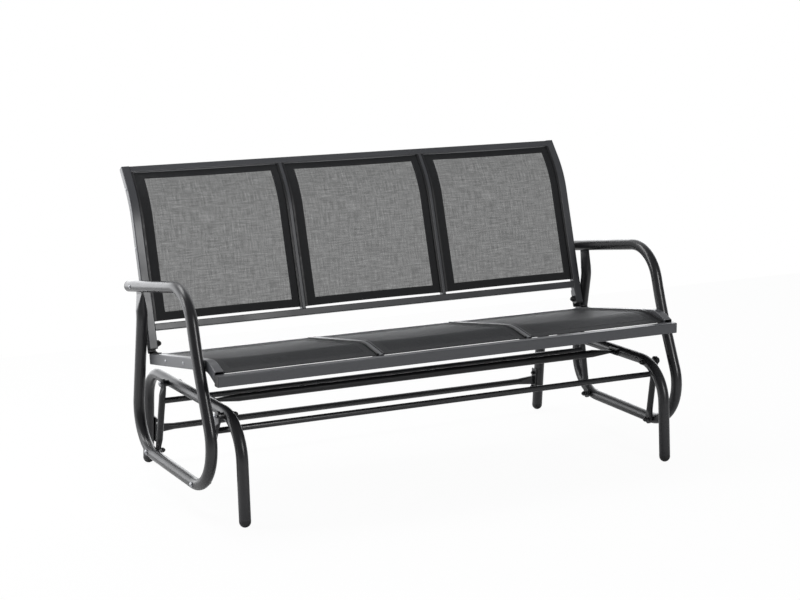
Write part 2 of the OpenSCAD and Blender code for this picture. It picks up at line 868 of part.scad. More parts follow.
// Points along a bent path, moved a distance to its left
arc_step = 3;
function steps(turn) = max(1, ceil(abs(turn) / arc_step));
function strip_side(path, radius, d) =
    let (turn = turn_at(path, 1), side = turn > 0 ? 1 : -1, n = steps(turn))
    let (entry = bearing(path[0], path[1]), exit = bearing(path[1], path[2]))
    let (t = radius * tan(abs(turn) / 2))
    let (c = path[1] - t * heading(entry) + side * radius * heading(entry + 90))
    concat(
        [path[0] + d * heading(entry + 90)],
        [for (k = [0 : n]) c + (radius - side * d) * heading(entry + k * turn / n - side * 90)],
        [path[2] + d * heading(exit + 90)]
    );
function backwards(v) = [for (k = [len(v) - 1 : -1 : 0]) v[k]];

// A strip with a thin side outline that follows a path, from x1 to x2
module strip(path, radius, thickness, x1, x2) {
    translate([x1, 0, 0]) side_view() linear_extrude(x2 - x1)
        polygon(concat(
            strip_side(path, radius, thickness / 2),
            backwards(strip_side(path, radius, -thickness / 2))
        ));
}

// The paths of the fabric: through the tracks of the seat and of the back
seat_fabric_path = trimmed(shifted(top_path, -fabric_drop - fabric_thickness / 2), 6, 8);
seat_fabric_radius = sling_nose_radius - fabric_drop - fabric_thickness / 2;
back_head = back_rail_height + 1;
back_foot = low_rail_offset + back_rail_height + back_gap;
back_fabric_shift = post_depth / 2 - fabric_drop - fabric_thickness / 2;
back_fabric_path = trimmed(shifted(post_path, -back_fabric_shift), back_foot, back_head);
back_fabric_radius = post_bend_radius + back_fabric_shift;

// Where a panel ends inside its track, and where the welt in its edge begins
edge = panel_width / 2 - 1.5;
welt = edge - welt_width;

// The tracks on both sides of a panel: a bar with a groove for the welt and a slot
module track_pair(path, radius, x) {
    longer = trimmed(path, -1, -1);
    for (s = [0, 1])
        translate([x, 0, 0]) mirror([s, 0, 0])
            difference() {
                strip(path, radius, track_height, panel_width / 2 - track_width,
                    panel_width / 2 - 0.05);
                strip(longer, radius, welt_width + 2 * gap, welt - gap, edge + gap);
                strip(longer, radius, fabric_thickness + 2 * gap, panel_width / 2 - track_width - 1,
                    welt);
            }
}

module seat_sling_tracks() {
    color("#3f3f41")
        for (x = panel_places)
            track_pair(seat_fabric_path, seat_fabric_radius, x);
}

module panel(path, radius) {
    strip(path, radius, fabric_thickness, -edge + tiny, edge - tiny);
    for (x = [-edge, welt])
        strip(path, radius, welt_width, x, x + welt_width);
}

module seat_panel(x) {
    translate([x, 0, 0]) panel(seat_fabric_path, seat_fabric_radius);
}

module seat_sling_left() {
    color("#3d3d40") seat_panel(panel_places[0]);
}

module seat_sling_centre() {
    color("#3d3d40") seat_panel(panel_places[1]);
}

module seat_sling_right() {
    color("#3d3d40") seat_panel(panel_places[2]);
}

module back_post() {
    translate([half_width - rail_width / 2, 0, 0])
        bent_rail(post_path, [post_bend_radius], post_depth, rail_width);
}

module back_left_post() {
    color("#4a4a4c") mirror([1, 0, 0]) back_post();
}

module back_right_post() {
    color("#4a4a4c") back_post();
}

// A rail across the back at a distance from the end of a straight stretch of the posts
module back_rail(from, angle, distance) {
    p = from + distance * heading(angle);
    translate([-inner_width, p[0], p[1]]) rotate([angle - 90, 0, 0])
        along_x() linear_extrude(2 * inner_width) box_tube(back_rail_height, post_depth);
}

module back_top_rail() {
    color("#4a4a4c") back_rail(post_top, 270 - flare_lean, back_rail_height / 2);
}

module back_lower_rail() {
    color("#58585c")
        back_rail(post_foot, 90 - back_lean, low_rail_offset + back_rail_height / 2);
}

module back_divider() {
    path = trimmed(post_path, low_rail_offset + back_rail_height, back_rail_height);
    translate([divider_x, 0, 0])
        bent_rail(path, [post_bend_radius], post_depth, divider_width);
}

module back_left_divider() {
    color("#4a4a4c") mirror([1, 0, 0]) back_divider();
}

module back_right_divider() {
    color("#4a4a4c") back_divider();
}

module back_sling_tracks() {
    color("#3f3f41")
        for (x = panel_places)
            track_pair(back_fabric_path, back_fabric_radius, x);
}

module back_panel(x) {
    translate([x, 0, 0]) panel(back_fabric_path, back_fabric_radius);
}

module back_sling_left() {
    color("#868887") back_panel(panel_places[0]);
}

module back_sling_centre() {
    color("#868887") back_panel(panel_places[1]);
}

module back_sling_right() {
    color("#868887") back_panel(panel_places[2]);
}

// Thin caps on the feet of the back posts
module post_end_caps() {
    color("#141415") both_sides()
        translate([half_width - rail_width / 2, 0, 0])
            side_view() straight(post_foot - 3 * heading(90 - back_lean), 90 - back_lean, 3)
                rounded_box(post_depth, rail_width, edge_radius);
}

// Thin caps on the ends of the front rail
module rail_end_caps() {
    color("#2a2a2c") both_sides()
        translate([half_width, front_axis[0], front_axis[1]]) along_x()
            linear_extrude(1)
                rounded_box(rail_height, rail_width, edge_radius);
}

// Brackets between the rear ends of the side rails and the feet of the posts
bracket_thickness = 3;

module bracket() {
    heel = side_path[0] + (rail_height / 2) * heading(90 - seat_slope);
    rear_of_post = post_foot + (post_depth / 2 + bracket_thickness / 2) * heading(-back_lean);
    toe = heel + 34 * heading(seat_heading) + bracket_thickness / 2 * heading(90 - seat_slope);
    corner = meet(toe, seat_heading, rear_of_post, 90 - back_lean);
    head = rear_of_post + 40 * heading(90 - back_lean);
    translate([half_width - rail_width / 2, 0, 0])
        bent_bar([toe, corner, head], [4]) square([bracket_thickness, rail_width - 1], center = true);
}

module back_brackets() {
    color("#161617") both_sides() bracket();
}

module bracket_bolts() {
    heel = side_path[0] + (rail_height / 2 + bracket_thickness) * heading(90 - seat_slope);
    p = heel + 20 * heading(seat_heading);
    color("#1b1b1c") both_sides()
        translate([half_width - rail_width / 2, p[0], p[1]]) rotate([-seat_slope, 0, 0])
            rotate([0, -90, 0]) domed_head(6, 4);
}

// Bolts through the armrests into the back posts
module arm_bolts() {
    seat = loop_x + frame_radius;
    color("#8a8b8d") both_sides()
        difference() {
            translate([0, arm_bolt[0], arm_bolt[1]]) {
                shank(seat - 4, seat + 0.6, 5.5);
                translate([seat + 0.6 - tiny, 0, 0]) domed_head(5, 2.5);
            }
            translate([loop_x, 0, 0]) bent_bar(loop_path, loop_radii) circle(frame_radius);
        }
}

// Cap nuts of the bolts that hold the posts to the rear uprights, larger than those of the pivots
post_nut = 1.3;

module post_bolts() {
    p = post_foot + 12 * heading(90 - back_lean);
    color("#161617") both_sides()
        translate([inner_width, p[0], p[1]]) mirror([1, 0, 0])
            cap_nut(post_nut * nut_radius, post_nut * nut_height, post_nut * dome_radius);
}

// Bolts with flush heads through the side rails into the front uprights
module seat_bolts() {
    color("#161617") both_sides()
        translate([0, seat_bolt[0], seat_bolt[1]]) {
            shank(inner_width, inner_width + rail_wall, head_radius);
            shank(inner_width + tiny, loop_x - frame_radius + 9, bolt_radius);
        }
}

// Small screws on the outer sides of the seat and of the back, into the fabric tracks
seat_screw_y = [56, -74, -146];
post_screw_run = [110, 285, 460];
screw_radius = 4.8;
screw_height = 2.4;

module sling_screws() {
    color("#77787a") both_sides() {
        for (y = seat_screw_y)
            translate([half_width + 0.02, y, seat_height - y * tan(seat_slope)])
                domed_head(screw_radius, screw_height);
        for (s = post_screw_run) {
            bent = s > post_low_length;
            p = bent ? post_corner + (s - post_low_length) * heading(90 - flare_lean)
                : post_foot + s * heading(90 - back_lean);
            translate([half_width + 0.02, p[0], p[1]]) domed_head(screw_radius, screw_height);
        }
    }
}

left_arch();
right_arch();
foot_caps();
front_stretcher();
rear_stretcher();
stretcher_bolts();
upper_pivot_bolts();
upper_pivot_nuts();
upper_pivot_bushings();
front_link_left();
front_link_right();
front_link_tie();
rear_link_left();
rear_link_right();
rear_link_tie();
left_arm_loop();
right_arm_loop();
arm_end_caps();
lower_pivot_bolts();
lower_pivot_nuts();
lower_pivot_spacers();
seat_front_rail();
seat_rear_rail();
seat_left_rail();
seat_right_rail();
seat_left_divider();
seat_right_divider();
seat_sling_tracks();
seat_sling_left();
seat_sling_centre();
seat_sling_right();
back_left_post();
back_right_post();
back_top_rail();
back_lower_rail();
back_left_divider();
back_right_divider();
back_sling_tracks();
back_sling_left();
back_sling_centre();
back_sling_right();
post_end_caps();
rail_end_caps();
back_brackets();
bracket_bolts();
arm_bolts();
post_bolts();
seat_bolts();
sling_screws();
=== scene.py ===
"""Looks of an outdoor glider bench: tube armrest loops, box rails, mesh slings and a swing linkage."""

import logging
import math
from dataclasses import dataclass
from enum import Enum

import bmesh
import bpy
from mathutils import Matrix, Vector

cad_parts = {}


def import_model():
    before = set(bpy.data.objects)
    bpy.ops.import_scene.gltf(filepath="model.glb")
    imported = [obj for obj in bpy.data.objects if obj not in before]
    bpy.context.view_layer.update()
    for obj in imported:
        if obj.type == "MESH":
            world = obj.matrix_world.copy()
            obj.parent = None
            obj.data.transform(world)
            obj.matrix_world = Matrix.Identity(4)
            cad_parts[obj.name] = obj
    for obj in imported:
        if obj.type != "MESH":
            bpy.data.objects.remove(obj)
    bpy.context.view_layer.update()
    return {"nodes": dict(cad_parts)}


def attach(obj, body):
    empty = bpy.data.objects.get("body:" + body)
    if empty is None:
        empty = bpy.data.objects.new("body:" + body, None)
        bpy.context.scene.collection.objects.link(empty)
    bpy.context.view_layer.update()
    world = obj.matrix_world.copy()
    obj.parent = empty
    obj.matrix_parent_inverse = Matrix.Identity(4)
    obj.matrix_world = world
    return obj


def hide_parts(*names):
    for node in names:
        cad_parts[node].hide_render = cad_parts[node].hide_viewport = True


LOG = logging.getLogger("bench")
MM = 0.001
Colour = tuple[float, float, float, float]
Point = tuple[float, float, float]
Pair = tuple[float, float]


def linear(code: str, shade: float = 1.0) -> Colour:
    """Turn an sRGB hex colour into linear light.

    Args:
        code: A colour such as "#47484b".
        shade: What its light is multiplied by: under 1 darkens it, over 1 lightens it.

    Returns:
        Red, green and blue in linear light, and an alpha of one.
    """
    channels = [int(code[i:i + 2], 16) / 255 for i in (1, 3, 5)]
    lit = [c / 12.92 if c <= 0.04045 else ((c + 0.055) / 1.055) ** 2.4 for c in channels]
    return (lit[0] * shade, lit[1] * shade, lit[2] * shade, 1.0)


def place(tree: bpy.types.NodeTree, kind: str, settings: dict | None = None,
          links: dict | None = None) -> bpy.types.Node:
    """Add a node to a tree.

    Args:
        tree: The node tree that gets the node.
        kind: The node's type name.
        settings: Attribute names or input keys, each with its value.
        links: Input keys, each with the output socket that feeds it.

    Returns:
        The new node.
    """
    made = tree.nodes.new(kind)
    for key, value in (settings or {}).items():
        if isinstance(key, str) and hasattr(made, key) and key not in made.inputs:
            setattr(made, key, value)
        else:
            made.inputs[key].default_value = value
    for key, source in (links or {}).items():
        tree.links.new(source, made.inputs[key])
    return made


def yarn_ribs(tree: bpy.types.NodeTree, flat: bpy.types.NodeSocket, pitch_mm: float) -> bpy.types.NodeSocket:
    """Draw the crossing yarns of a plain weave as rounded ribs.

    Args:
        tree: The material's node tree.
        flat: Places on the flat cloth, in metres.
        pitch_mm: Distance from yarn to yarn.

    Returns:
        A height that is 0 between the yarns and 1 on top of them.
    """
    split = place(tree, "ShaderNodeSeparateXYZ", {}, {"Vector": flat})
    ribs = []
    for axis in ("X", "Y"):
        turns = place(tree, "ShaderNodeMath", {"operation": "MULTIPLY", 1: math.pi / (pitch_mm * MM)},
                      {0: split.outputs[axis]})
        wave = place(tree, "ShaderNodeMath", {"operation": "SINE"}, {0: turns.outputs[0]})
        ribs.append(place(tree, "ShaderNodeMath", {"operation": "ABSOLUTE"}, {0: wave.outputs[0]}))
    crossed = place(tree, "ShaderNodeMath", {"operation": "MAXIMUM"},
                    {0: ribs[0].outputs[0], 1: ribs[1].outputs[0]})
    return crossed.outputs[0]


@dataclass(frozen=True)
class Finish:
    """A finish with one Principled surface, whose patterns a subclass adds."""

    title: str
    colour: str
    roughness: float
    metallic: float = 0.0
    ior: float = 1.5

    def build(self) -> bpy.types.Material:
        """Make the material, or fetch it when it is already there.

        Returns:
            The material.
        """
        if self.title in bpy.data.materials:
            return bpy.data.materials[self.title]
        made = bpy.data.materials.new(self.title)
        made.use_nodes = True
        tree = made.node_tree
        surface = tree.nodes["Principled BSDF"]
        surface.inputs["Base Color"].default_value = linear(self.colour)
        surface.inputs["Roughness"].default_value = self.roughness
        surface.inputs["Metallic"].default_value = self.metallic
        surface.inputs["IOR"].default_value = self.ior
        self.dress(tree, surface)
        return made

    def dress(self, tree: bpy.types.NodeTree, surface: bpy.types.Node) -> None:
        """Add the patterns of this finish to its surface.

        Args:
            tree: The material's node tree.
            surface: The Principled node.
        """


@dataclass(frozen=True)
class PowderCoat(Finish):
    """Baked polyester powder on steel: a satin film with a fine orange peel and a faint cloudy sheen.

    The lightest cloud is the colour times light_cloud. The clouds also move the roughness, down by
    smoother and up by rougher, over the noise_span part of the noise.
    """

    peel_mm: float = 1.3
    peel_depth_mm: float = 0.02
    peel_strength: float = 0.2
    cloud_mm: float = 111.0
    light_cloud: float = 1.16
    smoother: float = 0.05
    rougher: float = 0.07
    noise_span: Pair = (0.3, 0.7)

    def dress(self, tree: bpy.types.NodeTree, surface: bpy.types.Node) -> None:
        """Add the orange peel and the slow change of gloss and tone.

        Args:
            tree: The material's node tree.
            surface: The Principled node.
        """
        where = place(tree, "ShaderNodeTexCoord").outputs["Object"]
        peel = place(tree, "ShaderNodeTexNoise", {"Scale": 1 / (self.peel_mm * MM), "Detail": 3.0},
                     {"Vector": where})
        cloud = place(tree, "ShaderNodeTexNoise", {"Scale": 1 / (self.cloud_mm * MM), "Detail": 4.0},
                      {"Vector": where})
        gloss = place(tree, "ShaderNodeMapRange",
                      {"From Min": self.noise_span[0], "From Max": self.noise_span[1],
                       "To Min": self.roughness - self.smoother, "To Max": self.roughness + self.rougher},
                      {"Value": cloud.outputs["Fac"]})
        tree.links.new(gloss.outputs["Result"], surface.inputs["Roughness"])
        tint = place(tree, "ShaderNodeMix",
                     {"data_type": "RGBA", 6: linear(self.colour), 7: linear(self.colour, self.light_cloud)},
                     {0: cloud.outputs["Fac"]})
        tree.links.new(tint.outputs[2], surface.inputs["Base Color"])
        bump = place(tree, "ShaderNodeBump",
                     {"Strength": self.peel_strength, "Distance": self.peel_depth_mm * MM},
                     {"Height": peel.outputs["Fac"]})
        tree.links.new(bump.outputs["Normal"], surface.inputs["Normal"])


@dataclass(frozen=True)
class Moulded(Finish):
    """Moulded polypropylene or nylon, or extruded vinyl: a dull skin with a fine grain and scuffs.

    The scuffs move the roughness, down by smoother and up by rougher, over the noise_span part of
    the noise.
    """

    grain_mm: float = 0.8
    grain_depth_mm: float = 0.04
    grain_strength: float = 0.3
    scuff_mm: float = 16.7
    smoother: float = 0.06
    rougher: float = 0.12
    noise_span: Pair = (0.35, 0.75)

    def dress(self, tree: bpy.types.NodeTree, surface: bpy.types.Node) -> None:
        """Add the grain and the scuffs that dull it.

        Args:
            tree: The material's node tree.
            surface: The Principled node.
        """
        where = place(tree, "ShaderNodeTexCoord").outputs["Object"]
        grain = place(tree, "ShaderNodeTexVoronoi", {"Scale": 1 / (self.grain_mm * MM)}, {"Vector": where})
        scuff = place(tree, "ShaderNodeTexNoise", {"Scale": 1 / (self.scuff_mm * MM), "Detail": 6.0},
                      {"Vector": where})
        wear = place(tree, "ShaderNodeMapRange",
                     {"From Min": self.noise_span[0], "From Max": self.noise_span[1],
                      "To Min": self.roughness - self.smoother, "To Max": self.roughness + self.rougher},
                     {"Value": scuff.outputs["Fac"]})
        tree.links.new(wear.outputs["Result"], surface.inputs["Roughness"])
        bump = place(tree, "ShaderNodeBump",
                     {"Strength": self.grain_strength, "Distance": self.grain_depth_mm * MM},
                     {"Height": grain.outputs["Distance"]})
        tree.links.new(bump.outputs["Normal"], surface.inputs["Normal"])


@dataclass(frozen=True)
class PlatedSteel(Finish):
    """Zinc-plated or black-oxide steel: turned and rolled metal under a thin cloudy layer.

    The darkest crystal is the colour times dark_crystal. The haze moves the roughness, down by
    smoother and up by rougher, over the noise_span part of the noise. Crystals and haze are drawn
    coarser than real ones, so that they show on a bolt head.
    """

    crystal_mm: float = 1.43
    dark_crystal: float = 0.8
    haze_mm: float = 4.17
    haze_depth_mm: float = 0.03
    haze_strength: float = 0.2
    smoother: float = 0.08
    rougher: float = 0.1
    noise_span: Pair = (0.3, 0.7)

    def dress(self, tree: bpy.types.NodeTree, surface: bpy.types.Node) -> None:
        """Add the crystals of the plating and the haze over them.

        Args:
            tree: The material's node tree.
            surface: The Principled node.
        """
        where = place(tree, "ShaderNodeTexCoord").outputs["Object"]
        crystal = place(tree, "ShaderNodeTexVoronoi", {"Scale": 1 / (self.crystal_mm * MM)},
                        {"Vector": where})
        haze = place(tree, "ShaderNodeTexNoise", {"Scale": 1 / (self.haze_mm * MM), "Detail": 5.0},
                     {"Vector": where})
        rough = place(tree, "ShaderNodeMapRange",
                      {"From Min": self.noise_span[0], "From Max": self.noise_span[1],
                       "To Min": self.roughness - self.smoother, "To Max": self.roughness + self.rougher},
                      {"Value": haze.outputs["Fac"]})
        tree.links.new(rough.outputs["Result"], surface.inputs["Roughness"])
        shade = place(tree, "ShaderNodeMix",
                      {"data_type": "RGBA", 6: linear(self.colour),
                       7: linear(self.colour, self.dark_crystal)}, {0: crystal.outputs["Distance"]})
        tree.links.new(shade.outputs[2], surface.inputs["Base Color"])
        bump = place(tree, "ShaderNodeBump",
                     {"Strength": self.haze_strength, "Distance": self.haze_depth_mm * MM},
                     {"Height": haze.outputs["Fac"]})
        tree.links.new(bump.outputs["Normal"], surface.inputs["Normal"])


@dataclass(frozen=True)
class SlingWeave(Finish):
    """Vinyl-coated polyester yarn in an open plain weave, through which the light behind shows grey.

    The cloth is partly see-through all over, by cover, as holes finer than a pixel turn to noise.
    A rib adds up to opening to that, and a thick or thin place (a slub) adds or takes slub. Slubs
    are drawn several yarns wide, as one alone is finer than a pixel of the main view.
    """

    cover: float = 0.55
    pitch_mm: float = 1.5
    opening: float = 0.35
    mean_rib: float = 0.8
    slub: float = 0.3
    slub_mm: float = 4.0
    slub_length_mm: float = 45.0
    rib_height: float = 0.6
    height_span: Pair = (0.9, 2.0)
    valley_painted_shade: float = 0.5
    crown_painted_sheen: float = 1.4
    relief_mm: float = 0.1
    relief_strength: float = 0.3

    def dress(self, tree: bpy.types.NodeTree, surface: bpy.types.Node) -> None:
        """Add the crossing yarns, the thin places between them and the slubs along them, with a painted
        sheen on their crowns and painted shade between them.

        Args:
            tree: The material's node tree.
            surface: The Principled node.
        """
        flat = place(tree, "ShaderNodeUVMap", {"uv_map": "UVMap"}).outputs["UV"]
        weave = yarn_ribs(tree, flat, self.pitch_mm)
        fine, long = 1 / (self.slub_mm * MM), 1 / (self.slub_length_mm * MM)
        slubs = []
        for scale in ((fine, long, 1.0), (long, fine, 1.0)):
            along = place(tree, "ShaderNodeMapping", {"Scale": scale}, {"Vector": flat})
            slubs.append(place(tree, "ShaderNodeTexNoise", {"Scale": 1.0, "Detail": 2.0, "Roughness": 0.6},
                               {"Vector": along.outputs[0]}))
        thick = place(tree, "ShaderNodeMath", {"operation": "ADD"},
                      {0: slubs[0].outputs["Fac"], 1: slubs[1].outputs["Fac"]})
        woven = place(tree, "ShaderNodeMath",
                      {"operation": "MULTIPLY_ADD", 1: self.opening,
                       2: self.cover - self.mean_rib * self.opening - self.slub}, {0: weave})
        closed = place(tree, "ShaderNodeMath",
                       {"operation": "MULTIPLY_ADD", "use_clamp": True, 1: self.slub},
                       {0: thick.outputs[0], 2: woven.outputs[0]})
        tree.links.new(closed.outputs[0], surface.inputs["Alpha"])
        height = place(tree, "ShaderNodeMath", {"operation": "MULTIPLY_ADD", 1: self.rib_height},
                       {0: weave, 2: thick.outputs[0]})
        # Painted sheen and shade: the base colour follows the relief, lighter on the yarns' crowns and slubs
        # and darker in the hollows between yarns.
        tone = place(tree, "ShaderNodeMapRange",
                     {"From Min": self.height_span[0], "From Max": self.height_span[1]},
                     {"Value": height.outputs[0]})
        shade = place(tree, "ShaderNodeMix",
                      {"data_type": "RGBA", 6: linear(self.colour, self.valley_painted_shade),
                       7: linear(self.colour, self.crown_painted_sheen)}, {0: tone.outputs["Result"]})
        tree.links.new(shade.outputs[2], surface.inputs["Base Color"])
        bump = place(tree, "ShaderNodeBump",
                     {"Strength": self.relief_strength, "Distance": self.relief_mm * MM},
                     {"Height": height.outputs[0]})
        tree.links.new(bump.outputs["Normal"], surface.inputs["Normal"])


@dataclass(frozen=True)
class SewingThread(Finish):
    """Twisted polyester thread: a soft dull cord whose plies wind round it.

    A wave texture of scale 1 repeats about every wave_length metres.
    """

    ply_mm: float = 0.5
    ply_depth_mm: float = 0.05
    ply_strength: float = 0.4
    groove_painted_shade: float = 0.6
    wave_length: float = 0.3

    def dress(self, tree: bpy.types.NodeTree, surface: bpy.types.Node) -> None:
        """Add the plies as slanting bands that groove the thread and darken it in the grooves, as painted
        shade.

        Args:
            tree: The material's node tree.
            surface: The Principled node.
        """
        where = place(tree, "ShaderNodeTexCoord").outputs["Object"]
        plies = place(tree, "ShaderNodeTexWave",
                      {"bands_direction": "DIAGONAL", "Scale": self.wave_length / (self.ply_mm * MM),
                       "Distortion": 1.0}, {"Vector": where})
        # Painted shade: the thread's colour darkens where the plies' grooves sink in.
        shade = place(tree, "ShaderNodeMix",
                      {"data_type": "RGBA", 6: linear(self.colour, self.groove_painted_shade), 7: linear(self.colour)},
                      {0: plies.outputs["Fac"]})
        tree.links.new(shade.outputs[2], surface.inputs["Base Color"])
        bump = place(tree, "ShaderNodeBump",
                     {"Strength": self.ply_strength, "Distance": self.ply_depth_mm * MM},
                     {"Height": plies.outputs["Fac"]})
        tree.links.new(bump.outputs["Normal"], surface.inputs["Normal"])


@dataclass(frozen=True)
class HemWeave(Finish):
    """The same yarn folded over and sewn flat, so that no light comes through and only its ribs show."""

    pitch_mm: float = 1.5
    rib_depth_mm: float = 0.2
    rib_strength: float = 0.5
    patch_mm: float = 14.3
    dark_patch: float = 0.8
    light_patch: float = 1.3

    def dress(self, tree: bpy.types.NodeTree, surface: bpy.types.Node) -> None:
        """Add the ribs of the yarns and a slight change of tone along them.

        Args:
            tree: The material's node tree.
            surface: The Principled node.
        """
        flat = place(tree, "ShaderNodeUVMap", {"uv_map": "UVMap"}).outputs["UV"]
        tone = place(tree, "ShaderNodeTexNoise", {"Scale": 1 / (self.patch_mm * MM), "Detail": 3.0},
                     {"Vector": flat})
        shade = place(tree, "ShaderNodeMix",
                      {"data_type": "RGBA", 6: linear(self.colour, self.dark_patch),
                       7: linear(self.colour, self.light_patch)}, {0: tone.outputs["Fac"]})
        tree.links.new(shade.outputs[2], surface.inputs["Base Color"])
        bump = place(tree, "ShaderNodeBump",
                     {"Strength": self.rib_strength, "Distance": self.rib_depth_mm * MM},
                     {"Height": yarn_ribs(tree, flat, self.pitch_mm)})
        tree.links.new(bump.outputs["Normal"], surface.inputs["Normal"])


# Powder coat on the box rails and posts: an even satin grey that turns light at low angles.
FRAME_COAT = PowderCoat("dark grey powder coat", "#454649", 0.34)
# Powder coat on round tube: charcoal, with a narrow bright line along each tube.
TUBE_COAT = PowderCoat("charcoal powder coat on tube", "#212123", 0.29)
# Powder coat on the front stretcher under the seat: the tube coat darkened to near black as painted shade
# for the seat's shadow on it; dull, with hardly any highlight.
PAINTED_SHADE_STRETCHER_COAT = PowderCoat("powder coat darkened as painted shade", "#151516", 0.42)
# Moulded nylon of the pivots' nuts, bushings and spacers: small dull black shapes.
BLACK_NYLON = Moulded("moulded black nylon", "#111112", 0.42)
# Moulded polypropylene of the feet and the box tubes' caps: dull black, a little scuffed.
FOOT_PLASTIC = Moulded("moulded black polypropylene", "#161617", 0.45)
# Moulded polypropylene of the armrests' end plugs, coloured a clear shade lighter than the tube round them
# as painted light for the light on their ends.
PAINTED_LIGHT_END_PLASTIC = Moulded("end plug polypropylene with painted light", "#3a3b3e", 0.4)
# Extruded vinyl of the tracks: a dull black line beside each panel.
TRACK_VINYL = Moulded("extruded black vinyl", "#1d1d1f", 0.45)
# Zinc plating of the pivot bolts and screws: small light points with a cloudy grain.
ZINC = PlatedSteel("zinc-plated steel", "#9c9da0", 0.36, metallic=1.0)
# Black oxide on brackets and bolt heads: nearly black, with a faint gleam of metal.
BLACK_STEEL = PlatedSteel("black-oxide steel", "#1c1c1e", 0.4, metallic=0.6)
# Woven back panels: mid grey, as the white behind shows through, with a fine cross-hatch.
BACK_MESH = SlingWeave("open sling weave", "#292c2a", 0.55, cover=0.572)
# Woven seat panels with the weave closed almost shut, so that they show dark: painted shade that stands in
# for the shaded floor under the seat; the satin light comes from the gloss and from the weave's painted
# sheen.
PAINTED_SHADE_SEAT_MESH = SlingWeave("sling weave closed as painted shade", "#242527", 0.6, ior=1.25, cover=0.96, opening=0.1, slub=0.08)
# Cloth folded double at the edges: an opaque, nearly black band round each panel.
HEM = HemWeave("folded sling hem", "#1d1e20", 0.7, ior=1.4)
# Twisted thread: a row of fine dashes, a shade lighter than the hem.
THREAD = SewingThread("twisted polyester thread", "#303134", 0.6)


def only(obj: bpy.types.Object) -> None:
    """Select one object alone and make it active.

    Args:
        obj: The object.
    """
    for other in bpy.context.selected_objects:
        other.select_set(False)
    obj.select_set(True)
    bpy.context.view_layer.objects.active = obj


def finish_piece(obj: bpy.types.Object, body: str, finish: Finish) -> None:
    """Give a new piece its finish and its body.

    Args:
        obj: The new piece, at its place.
        body: The CAD body that it moves with.
        finish: Its finish.
    """
    obj.data.materials.clear()
    obj.data.materials.append(finish.build())
    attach(obj, body)
    LOG.info("piece %s rides on %s: %d faces", obj.name, body, len(obj.data.polygons))


@dataclass(frozen=True)
class BentLine:
    """A line in the side view with one bend: corner points in mm as (y, z), and the bend's radius."""

    start: Pair
    corner: Pair
    end: Pair
    radius: float

    def _legs(self) -> tuple[Vector, Vector, float, float]:
        """Work out the two straight legs and the bend between them.

        Returns:
            Both directions, the signed turn in radians, and the bend's setback from the corner in mm.
        """
        first = (Vector(self.corner) - Vector(self.start)).normalized()
        second = (Vector(self.end) - Vector(self.corner)).normalized()
        turn = math.atan2(first.x * second.y - first.y * second.x, first.dot(second))
        return first, second, turn, self.radius * math.tan(abs(turn) / 2)

    def length(self) -> float:
        """Measure the whole line.

        Returns:
            Its length round the bend, in mm.
        """
        _, _, turn, setback = self._legs()
        corner = Vector(self.corner)
        legs = (corner - Vector(self.start)).length + (Vector(self.end) - corner).length
        return legs - 2 * setback + self.radius * abs(turn)

    def at(self, run: float) -> tuple[Vector, Vector]:
        """Find a point on the line.

        Args:
            run: Distance from the start, in mm.

        Returns:
            The point and the direction of travel there, both as (y, z).
        """
        first, second, turn, setback = self._legs()
        leg = (Vector(self.corner) - Vector(self.start)).length - setback
        arc = self.radius * abs(turn)
        if run <= leg:
            return Vector(self.start) + first * run, first
        if run >= leg + arc:
            return Vector(self.corner) + second * (setback + run - leg - arc), second
        side = 1 if turn > 0 else -1
        left = Vector((-first.y, first.x)) * side
        centre = Vector(self.start) + first * leg + left * self.radius
        swing = Matrix.Rotation((run - leg) / self.radius * side, 2)
        return centre + swing @ (-left * self.radius), swing @ first


class Row(Enum):
    """The two rows of panels."""

    SEAT = "seat"
    BACK = "back"


@dataclass(frozen=True)
class Hems:
    """Widths of a panel's hems in mm: left and right, and at the start and the end of its line."""

    left: float
    right: float
    start: float
    end: float


@dataclass(frozen=True)
class Stitching:
    """A row of stitches, in mm. Rounding is the share of a stitch that its bevelled edges take."""

    inset: float = 3.0
    pitch: float = 5.0
    length: float = 3.6
    width: float = 0.8
    height: float = 0.7
    lift: float = 0.1
    rounding: float = 0.28


